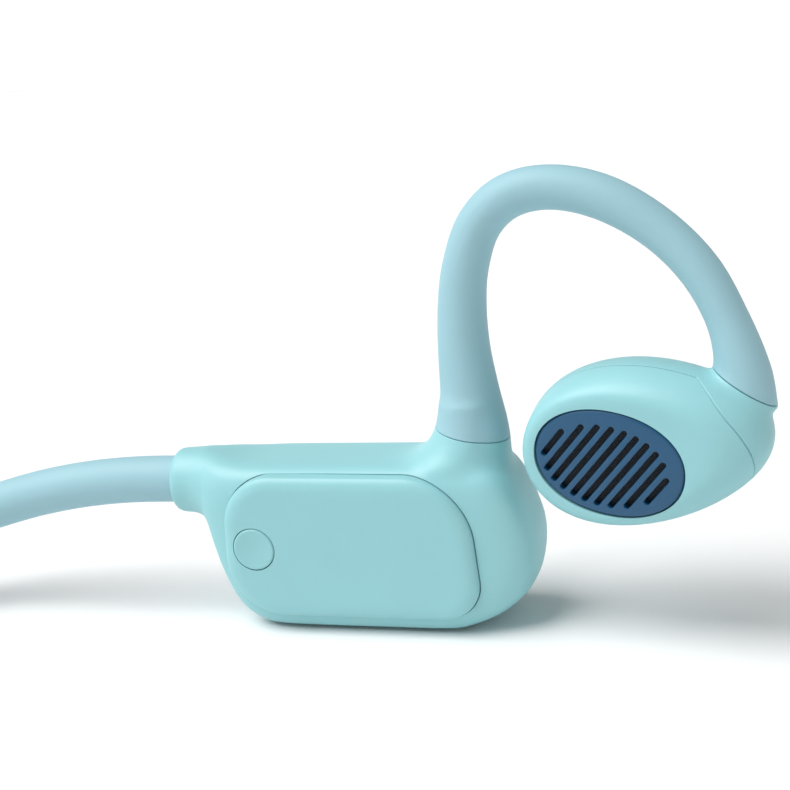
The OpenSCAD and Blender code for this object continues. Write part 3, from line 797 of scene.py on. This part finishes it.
pocket = prism_y(panel_outline(0.1), -12, PANEL_IN - 0.05)
button_hole = prism_y(circle(BUTTON_C, BUTTON_R + 0.09), -12, PANEL_IN + 1)
pin_holes = [prism_y(circle((BUTTON_C[0], BUTTON_C[1] + dz), 1.05), -12, PANEL_IN + 1) for dz in (-2, 2)]
key_holes = [loft([in_xy(pill_outline(x, KEY_L + 0.24, KEY_W + 0.24), z) for z in (16.5, 26)])
             for x in KEY_X]
tube_rim = oval(64, TUBE_R + 0.07, TUBE_R + 0.07, 2.0) + (0, NECK_Z)
tube_hole = loft([np.stack([np.full(64, x), *tube_rim.T], 1) for x in (-40.0, -33.6)])

# ---------------------------------------------------------------- neckband

BAND_DIP, DIP_R, BAND_STRAIGHT, SIDE_TURN = math.radians(15.5), 76.0, 1.45, math.radians(52)


def band_stations(into=3.8):
    """Centre line of the band with its sideways and upward directions, in row millimetres."""
    s_dip, c_dip = math.sin(BAND_DIP), math.cos(BAND_DIP)
    s_side, c_side = math.sin(SIDE_TURN), math.cos(SIDE_TURN)
    drop_length = (NECK_Z - FOOT_Z - DIP_R * (1 - c_dip) - TUBE_R) / s_dip
    side_r = ((drop_length - BAND_STRAIGHT - HALF_WIDTH * (1 - s_side) / c_side)
              / (s_side + (1 - s_side) * (1 - 1 / c_side)))
    nape_r = side_r + (HALF_WIDTH - side_r) / c_side
    end = np.array([NECK_X - DIP_R * s_dip, 0, NECK_Z - DIP_R * (1 - c_dip)])
    back, inward = np.array([-c_dip, 0, -s_dip]), np.array([0, -1.0, 0])
    up = np.array([-s_dip, 0, c_dip])
    rows = [(np.array([NECK_X + into, 0, NECK_Z]), inward, np.array([0, 0, 1.0]))]
    for a in np.linspace(0, BAND_DIP, 14):
        rows.append((np.array([NECK_X - DIP_R * math.sin(a), 0, NECK_Z - DIP_R * (1 - math.cos(a))]),
                     inward, np.array([-math.sin(a), 0, math.cos(a)])))

    def flat(x, y, a):
        rows.append((end + back * x + inward * y, inward * math.cos(a) - back * math.sin(a), up))
    for a in np.linspace(0, SIDE_TURN, 26):
        flat(BAND_STRAIGHT + side_r * math.sin(a), side_r * (1 - math.cos(a)), a)
    for a in np.linspace(SIDE_TURN, math.pi / 2, 30)[1:]:
        flat(BAND_STRAIGHT + (side_r - nape_r) * s_side + nape_r * math.sin(a),
             HALF_WIDTH - nape_r * math.cos(a), a)
    half = [(p + (UNIT_X, HALF_WIDTH, -FOOT_Z), s, u) for p, s, u in rows]
    flip = np.array([1, -1, 1])
    return half + [(p * flip, s * flip, u * flip) for p, s, u in half[-2::-1]]


def band_solid():
    turn = oval(56, TUBE_R, TUBE_R, 2.0)
    rings = [p + turn[:, :1] * s + turn[:, 1:] * u for p, s, u in band_stations()]
    points, faces = loft(rings)
    points[:, 2] = np.maximum(points[:, 2], 0)
    return points * MM, faces


# ---------------------------------------------------------------- pieces

plastic = FINISH["shell_plastic"]
housings = {"l": cut(housing, pocket, tube_hole), "r": cut(housing, pocket, tube_hole, *key_holes)}
panels = {"l": panel_solid([button_hole]), "r": panel_solid(pin_holes)}
screen = mesh_solid()
for side in SIDES:
    for name, solid, slot in (
        ("module_shell", housings[side], "shell_plastic"),
        ("module_panel", panels[side], "shell_plastic"),
        ("hook_sleeve", sleeve, "hook_silicone"),
        ("pod_shell", pod_back, "shell_plastic"),
        ("pod_cap", pod_front, "shell_plastic"),
        ("grille", grille, "grille_navy"),
        ("grille_mesh", screen, "mesh_dark"),
    ):
        node = f"{name}_{side}"
        piece(f"{node}_skin", solid, side, "headset", [node], FINISH[slot])

piece("neck_sleeve_skin", band_solid(), None, "headset", ["neck_sleeve"],
      FINISH["band_silicone"])
piece("function_button_skin", disc(BUTTON_C, BUTTON_R, PANEL_IN + 0.5, PANEL_Y, 0.16), "l",
      "function_button", ["function_button"], plastic)
for node, x in (("volume_down_key", KEY_X[0]), ("volume_up_key", KEY_X[1])):
    piece(f"{node}_skin", key_solid(x), "r", node, [node], plastic)
contacts = joined(*[disc((BUTTON_C[0], BUTTON_C[1] + dz), 0.98, PANEL_IN + 0.5, PANEL_Y + 0.1, 0.12, 0.15)
                    for dz in (-2, 2)])
piece("charge_contacts_skin", contacts, "r", "headset", ["charge_contacts"], FINISH["contact"])

for node, obj in frame["nodes"].items():
    if obj.hide_render:
        continue
    slot = NODE_SLOT[node]
    obj.data.materials.clear()
    obj.data.materials.append(FINISH[slot])

# ---------------------------------------------------------------- stage, light and camera


def stage_piece(name, points, faces, material):
    mesh = new_mesh(name, points, faces, tidy=False)
    mesh.materials.append(material)
    obj = bpy.data.objects.new(name, mesh)
    bpy.context.scene.collection.objects.link(obj)
    return obj


def glowing(name, strength):
    mat = bpy.data.materials.new(name)
    mat.use_nodes = True
    bsdf = mat.node_tree.nodes["Principled BSDF"]
    bsdf.inputs["Base Color"].default_value = (0, 0, 0, 1)
    bsdf.inputs["Emission Color"].default_value = (1, 1, 1, 1)
    bsdf.inputs["Emission Strength"].default_value = strength
    return mat


def studio():
    """Plain pale floor that meets a low white backdrop on all sides."""
    radius, height, count = 2.6, 0.6, 96
    turn = np.arange(count) * 2 * math.pi / count
    rim = np.stack([radius * np.cos(turn), radius * np.sin(turn), np.full(count, -0.0004)], 1)
    paper = moulded("floor_paper", (0.86, 0.86, 0.86, 1), 0.9, grain=1.0, depth=0.02, spread=0.01)
    stage_piece("floor", rim, [tuple(range(count))], paper)
    stage_piece("backdrop", *loft([rim, rim + (0, 0, height)], caps=False), glowing("backdrop_white", 1.0))
    world = bpy.data.worlds.new("studio")
    bpy.context.scene.world = world
    world.use_nodes = True
    world.node_tree.nodes["Background"].inputs["Color"].default_value = (1.0, 1.0, 1.0, 1)
    world.node_tree.nodes["Background"].inputs["Strength"].default_value = 0.28


def sun(name, direction, strength, angle):
    data = bpy.data.lights.new(name, "SUN")
    data.energy, data.angle = strength, math.radians(angle)
    lamp = bpy.data.objects.new(name, data)
    lamp.rotation_mode = "QUATERNION"
    lamp.rotation_quaternion = (-Vector(direction)).to_track_quat("-Z", "Y")
    bpy.context.scene.collection.objects.link(lamp)


# The point of the left unit the camera is aimed from, and the shift of the aim to the left and up
MARK_Z, AIM_LEFT, AIM_UP = 23.1, 8.35, 3.06
NEAR_LIMIT = 0.07


def photo_camera():
    """Looks at the head side of the left unit from its front, a little above."""
    azimuth, elevation, roll = math.radians(18), math.radians(15), math.radians(-5.8)
    distance, lens = 148.8, 64.16
    back = Vector((math.sin(azimuth) * math.cos(elevation), -math.cos(azimuth) * math.cos(elevation),
                   math.sin(elevation)))
    level = Vector((math.cos(azimuth), math.sin(azimuth), 0))
    upright = back.cross(level)
    right = level * math.cos(roll) + upright * math.sin(roll)
    up = upright * math.cos(roll) - level * math.sin(roll)
    mark = Vector((UNIT_X, HALF_WIDTH, MARK_Z - FOOT_Z))
    aim = mark - right * AIM_LEFT + up * AIM_UP
    data = bpy.data.cameras.new("photo_camera")
    data.lens, data.sensor_width = lens, 36.0
    # The other unit stands between the camera and this one, nearer than the picture begins
    data.clip_start, data.clip_end = NEAR_LIMIT, 20.0
    camera = bpy.data.objects.new("photo_camera", data)
    axes = Matrix((right, up, back)).transposed().to_4x4()
    camera.matrix_world = Matrix.Translation((aim + back * distance) * MM) @ axes
    bpy.context.scene.collection.objects.link(camera)
    bpy.context.scene.camera = camera


studio()
sun("key", (-0.55, -0.30, 1.0), 3.5, 50)
photo_camera()
bpy.context.scene.view_settings.view_transform = "Standard"
